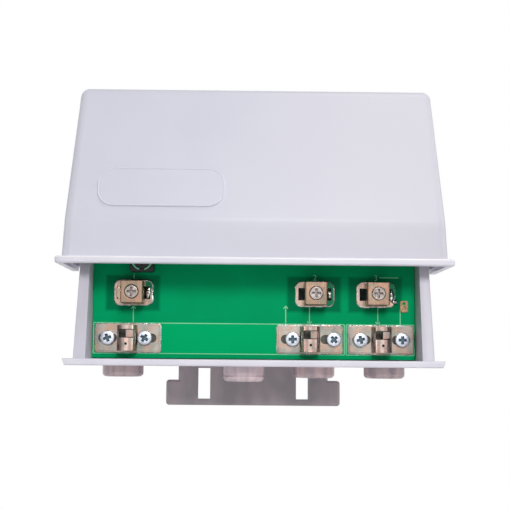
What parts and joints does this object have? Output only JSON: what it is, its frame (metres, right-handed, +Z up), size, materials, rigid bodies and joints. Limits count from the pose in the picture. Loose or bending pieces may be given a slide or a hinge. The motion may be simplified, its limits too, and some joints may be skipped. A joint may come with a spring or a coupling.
{
  "type": "mast-head tv signal amplifier",
  "caption": "Mast-head antenna amplifier: a board with screw terminals and braid clamps in a moulded tray, under a tapered hood that slides up, with a slotted mast bracket.",
  "frame": {"origin": "centre of the mast bracket's rear face, at its mid-height", "axes": "+Y towards the mast, +Z up, +X to the right seen from the front; the terminals face -Y"},
  "size_m": [0.146, 0.042, 0.1215],
  "materials": {
    "housing_plastic": "moulded, slightly glossy",
    "hood_plastic": "moulded, slightly glossy",
    "bracket_plastic": "moulded, satin",
    "gland_rubber": "moulded, satin",
    "board_laminate": "green solder mask",
    "nickel_sheet": "nickel plate with a warm tint",
    "screw_steel": "bright zinc plate",
    "terminal_screw_metal": "satin nickel plate",
    "tinned_sheet": "tinned sheet",
    "black_plastic": "moulded",
    "rotor_plastic": "moulded",
    "copper": "bare copper",
    "ferrite": "sintered"
  },
  "bodies": {
    "root": {"base_housing": "housing_plastic", "mast_bracket": "bracket_plastic", "bracket_screws": "screw_steel", "circuit_board": "board_laminate", "board_screws": "screw_steel", "blanking_plug": "gland_rubber", "gain_trimmer_body": "black_plastic", "screening_can": "tinned_sheet", "transistors": "black_plastic", "voltage_regulator": "black_plastic", "electrolytic_capacitor": "tinned_sheet", "supply_choke": "copper", "ferrite_splitter": "ferrite", "chip_components": "black_plastic", "power_link": "copper", "cable_gland_1": "gland_rubber", "ground_plate_1": "nickel_sheet", "terminal_frame_1": "nickel_sheet", "terminal_cage_1": "nickel_sheet", "cable_gland_2": "gland_rubber", "ground_plate_2": "nickel_sheet", "terminal_frame_2": "nickel_sheet", "terminal_cage_2": "nickel_sheet", "cable_gland_3": "gland_rubber", "ground_plate_3": "nickel_sheet", "terminal_frame_3": "nickel_sheet", "terminal_cage_3": "nickel_sheet"},
    "cover": {"sliding_cover": "hood_plastic"},
    "trimmer": {"gain_trimmer_rotor": "rotor_plastic"},
    "clamp_1": {"braid_strap_1": "nickel_sheet", "strap_screws_1": "screw_steel"},
    "clamping_screw_1": {"terminal_screw_1": "terminal_screw_metal"},
    "clamp_2": {"braid_strap_2": "nickel_sheet", "strap_screws_2": "screw_steel"},
    "clamping_screw_2": {"terminal_screw_2": "terminal_screw_metal"},
    "clamp_3": {"braid_strap_3": "nickel_sheet", "strap_screws_3": "screw_steel"},
    "clamping_screw_3": {"terminal_screw_3": "terminal_screw_metal"}
  },
  "joints": [
    {"name": "cover_slide", "type": "slide", "parent": "root", "child": "cover", "axis": [0, 0, 1], "range_m": [-0.0355, 0.02]},
    {"name": "gain_turn", "type": "hinge", "parent": "root", "child": "trimmer", "pos_m": [-0.0427, -0.025, 0.0049], "axis": [0, -1, 0], "range_deg": [-135, 135]},
    {"name": "strap_lift_1", "type": "slide", "parent": "root", "child": "clamp_1", "axis": [0, -1, 0], "range_m": [0, 0.0025]},
    {"name": "terminal_turn_1", "type": "hinge", "parent": "root", "child": "clamping_screw_1", "pos_m": [-0.046, -0.029, -0.0074], "axis": [0, -1, 0], "range_deg": [0, 360]},
    {"name": "strap_lift_2", "type": "slide", "parent": "root", "child": "clamp_2", "axis": [0, -1, 0], "range_m": [0, 0.0025]},
    {"name": "terminal_turn_2", "type": "hinge", "parent": "root", "child": "clamping_screw_2", "pos_m": [0.0231, -0.029, -0.0074], "axis": [0, -1, 0], "range_deg": [0, 360]},
    {"name": "strap_lift_3", "type": "slide", "parent": "root", "child": "clamp_3", "axis": [0, -1, 0], "range_m": [0, 0.0025]},
    {"name": "terminal_turn_3", "type": "hinge", "parent": "root", "child": "clamping_screw_3", "pos_m": [0.0465, -0.029, -0.0074], "axis": [0, -1, 0], "range_deg": [0, 360]}
  ]
}
